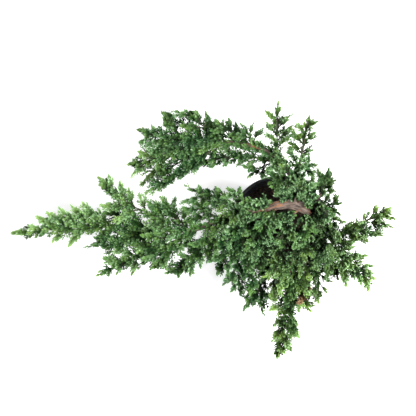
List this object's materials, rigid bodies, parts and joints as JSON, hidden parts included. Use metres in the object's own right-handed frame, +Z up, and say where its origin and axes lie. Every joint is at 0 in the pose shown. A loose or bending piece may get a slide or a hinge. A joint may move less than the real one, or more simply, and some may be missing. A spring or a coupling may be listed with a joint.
{
  "type": "potted juniper bonsai",
  "caption": "Young juniper bonsai with a bent trunk, one long low branch and feathery needle-leaved sprays, growing in a plain round black nursery pot.",
  "frame": {"origin": "middle of the pot's flat underside, where it stands on a table", "axes": "+Z up, -X towards the tip of the long branch, +Y towards the two upright sprays at the back"},
  "size_m": [0.5658, 0.3857, 0.2402],
  "materials": {
    "pot": "satin",
    "soil": "matte",
    "bark": "matte",
    "foliage": "satin",
    "young_foliage": "satin"
  },
  "bodies": {
    "root": {"pot": "pot", "soil": "soil", "trunk_and_branches": "bark", "spray_left_tip": "young_foliage", "spray_left_up": "young_foliage", "spray_left_over": "foliage", "spray_left_inner": "foliage", "spray_left_under": "foliage", "spray_left_low": "foliage", "spray_left_low_side": "foliage", "spray_left_between": "foliage", "spray_left_mid": "foliage", "spray_left_mid_side": "foliage", "spray_left_back": "foliage", "spray_left_back_side": "foliage", "spray_hanging": "foliage", "spray_hanging_left": "foliage", "spray_hanging_top": "foliage", "spray_hanging_right": "foliage", "spray_crown": "foliage", "spray_crown_right": "foliage", "spray_crown_back": "foliage", "spray_crown_edge": "foliage", "spray_upper_tip": "young_foliage", "spray_upper_left": "foliage", "spray_upper_mid": "foliage", "spray_upper_side": "foliage", "spray_upper_right": "foliage", "spray_upper_under": "foliage", "spray_upper_low": "foliage", "spray_upper_low_side": "foliage", "spray_centre_back": "foliage", "spray_top_left": "foliage", "spray_top_right": "young_foliage", "spray_top_inner": "foliage", "spray_back_right": "foliage", "spray_back_right_side": "foliage", "spray_back_inner": "foliage", "spray_right_up": "foliage", "spray_right_up_side": "foliage", "spray_right_low": "young_foliage", "spray_right_low_side": "foliage", "spray_front": "young_foliage", "spray_front_side": "foliage", "spray_front_over": "foliage", "spray_front_end": "foliage", "spray_front_right": "foliage", "spray_front_left": "foliage", "spray_front_left_side": "foliage"}
  },
  "joints": []
}
